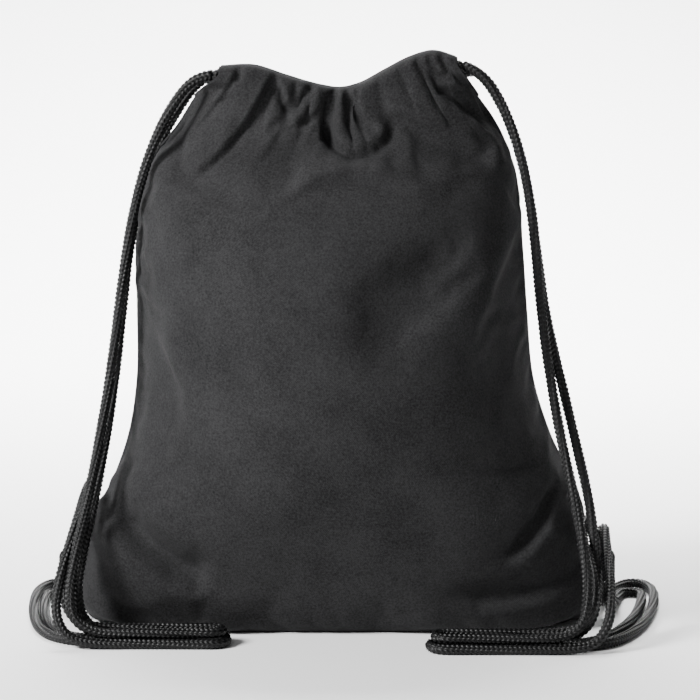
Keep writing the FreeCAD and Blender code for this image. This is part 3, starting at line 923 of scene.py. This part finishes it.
def cord_material():
    """Black braided polyester: smooth filaments along each plait, glossier than the cloth."""
    material, tree, shader = new_material("black_braid")
    link_nodes = tree.links.new
    shader.inputs["Specular IOR Level"].default_value = 0.24
    place = tree.nodes.new("ShaderNodeTexCoord")
    tint = node(tree, "ShaderNodeTexNoise", Scale=60.0, Detail=3.0)
    ramp = tree.nodes.new("ShaderNodeValToRGB")
    ramp.color_ramp.elements[0].position = 0.3
    ramp.color_ramp.elements[0].color = (0.002, 0.002, 0.0021, 1)
    ramp.color_ramp.elements[1].position = 0.8
    ramp.color_ramp.elements[1].color = (0.006, 0.006, 0.0063, 1)
    link_nodes(place.outputs["Object"], tint.inputs["Vector"])
    link_nodes(tint.outputs["Fac"], ramp.inputs["Fac"])
    link_nodes(ramp.outputs["Color"], shader.inputs["Base Color"])
    rough = node(tree, "ShaderNodeMapRange")
    rough.inputs["To Min"].default_value = 0.36
    rough.inputs["To Max"].default_value = 0.54
    link_nodes(tint.outputs["Fac"], rough.inputs["Value"])
    link_nodes(rough.outputs["Result"], shader.inputs["Roughness"])
    filament = node(tree, "ShaderNodeTexNoise", Scale=1.0, Detail=2.0)
    stretch = node(tree, "ShaderNodeMapping")
    stretch.inputs["Scale"].default_value = (2.0, 9.0, 1.0)
    link_nodes(place.outputs["UV"], stretch.inputs["Vector"])
    link_nodes(stretch.outputs["Vector"], filament.inputs["Vector"])
    bump = tree.nodes.new("ShaderNodeBump")
    bump.inputs["Strength"].default_value = 0.35
    bump.inputs["Distance"].default_value = 0.0002
    link_nodes(filament.outputs["Fac"], bump.inputs["Height"])
    link_nodes(bump.outputs["Normal"], shader.inputs["Normal"])
    return material


def webbing_material():
    """Black woven tape, a little coarser than the cloth."""
    material, tree, shader = new_material("black_webbing")
    link_nodes = tree.links.new
    shader.inputs["Roughness"].default_value = 0.72
    shader.inputs["Specular IOR Level"].default_value = 0.15
    place = tree.nodes.new("ShaderNodeTexCoord")
    weave = node(tree, "ShaderNodeTexWave", wave_type="BANDS", bands_direction="X")
    weave.inputs["Scale"].default_value = 0.5
    weave.inputs["Distortion"].default_value = 0.8
    link_nodes(place.outputs["UV"], weave.inputs["Vector"])
    ramp = tree.nodes.new("ShaderNodeValToRGB")
    ramp.color_ramp.elements[0].color = (0.005, 0.005, 0.0052, 1)
    ramp.color_ramp.elements[1].color = (0.012, 0.012, 0.0125, 1)
    link_nodes(weave.outputs["Fac"], ramp.inputs["Fac"])
    link_nodes(ramp.outputs["Color"], shader.inputs["Base Color"])
    bump = tree.nodes.new("ShaderNodeBump")
    bump.inputs["Strength"].default_value = 0.4
    bump.inputs["Distance"].default_value = 0.0003
    link_nodes(weave.outputs["Fac"], bump.inputs["Height"])
    link_nodes(bump.outputs["Normal"], shader.inputs["Normal"])
    return material


def floor_material():
    """Matt near-white card."""
    material, _, shader = new_material("pale_floor")
    shader.inputs["Base Color"].default_value = (0.93, 0.93, 0.93, 1)
    shader.inputs["Roughness"].default_value = 0.7
    return material


def paint(obj, material):
    """Gives an object one material."""
    obj.data.materials.clear()
    obj.data.materials.append(material)


# ---------------------------------------------------------------- putting it together

cords = []
SIDES = [
    ("left", -1, LEFT_CHANNEL_FRONT, LEFT_FRONT_STRAP, LEFT_BACK_STRAP, LEFT_FRONT_TAIL, LEFT_BACK_TAIL),
    ("right", 1, RIGHT_CHANNEL_FRONT, RIGHT_FRONT_STRAP, RIGHT_BACK_STRAP, RIGHT_FRONT_TAIL,
     RIGHT_BACK_TAIL),
]
for label, side, channel, front_strap, back_strap, front_tail, back_tail in SIDES:
    body = label + "_drawstring"
    tied = knot(label + "_knot", side, body)
    cords.append(tied)
    cords.append(channel_cord(label + "_channel_cord", channel, body))
    for part, points in (("_front_strap", front_strap), ("_back_strap", back_strap)):
        cords.append(free_cord(label + part, points, body))
    for part, points in (("_front_tail", front_tail), ("_back_tail", back_tail)):
        cords.append(free_cord(label + part, points, body))

bag_points, bag_index, bag_uppers = filled_bag()
front_panel, front_grid = panel_piece("front_panel", bag_points, bag_index, 0)
back_panel, back_grid = panel_piece("back_panel", bag_points, bag_index, 1)
front_casing = hem_piece("front_casing", -1, FRONT_PLEATS, front_grid, bag_uppers[0])
back_casing = hem_piece("back_casing", 1, BACK_PLEATS, back_grid, bag_uppers[1])
left_line = front_grid[4:ROWS - 1, 0]
right_line = front_grid[4:ROWS - 1, COLUMNS]
left_seam = seam_strip("left_side_seam", left_line + np.array([1.2, 0, 0]), np.array([1.0, 0, 0]))
right_seam = seam_strip("right_side_seam", right_line - np.array([1.2, 0, 0]), np.array([-1.0, 0, 0]))
bottom_seam = bottom_strip("bottom_seam")
tabs = [tab_piece("left_tab_loop", -1), tab_piece("right_tab_loop", 1)]

cloth = cloth_material()
for piece in (front_panel, back_panel, front_casing, back_casing, left_seam, right_seam, bottom_seam):
    paint(piece, cloth)
braid_look = cord_material()
for piece in cords:
    paint(piece, braid_look)
webbing = webbing_material()
for piece in tabs:
    paint(piece, webbing)

# Floor that curves up into the wall behind, in millimetres
FLOOR_FRONT = -2500
FLOOR_BACK = 1100
FLOOR_CURVE = 700
FLOOR_TOP = 2600
FLOOR_SIDE = 3500
profile = [(FLOOR_FRONT, 0), (-800, 0), (FLOOR_BACK, 0)]
profile += [(FLOOR_BACK + FLOOR_CURVE * math.sin(a), FLOOR_CURVE - FLOOR_CURVE * math.cos(a))
            for a in np.linspace(0.1, math.pi / 2, 14)]
profile.append((FLOOR_BACK + FLOOR_CURVE, FLOOR_TOP))
sweep = [(x, y, z) for y, z in profile for x in (-FLOOR_SIDE, FLOOR_SIDE)]
floor = mesh_object("floor", sweep, grid_faces(len(profile), 2).tolist())
paint(floor, floor_material())
world = bpy.data.worlds.new("studio")
world.use_nodes = True
background = next(n for n in world.node_tree.nodes if n.type == "BACKGROUND")
background.inputs["Color"].default_value = (1, 1, 1, 1)
background.inputs["Strength"].default_value = 0.2
scene.world = world
add_light("key", (-1.66, -1.02, 1.35), 0.75, 138)
add_light("fill", (-0.5, -2.0, 1.6), 1.0, 4)
add_light("backdrop", (0, 1.9, 2.4), 2.2, 220, target=(0, 1.9, 0.3), spread=70)
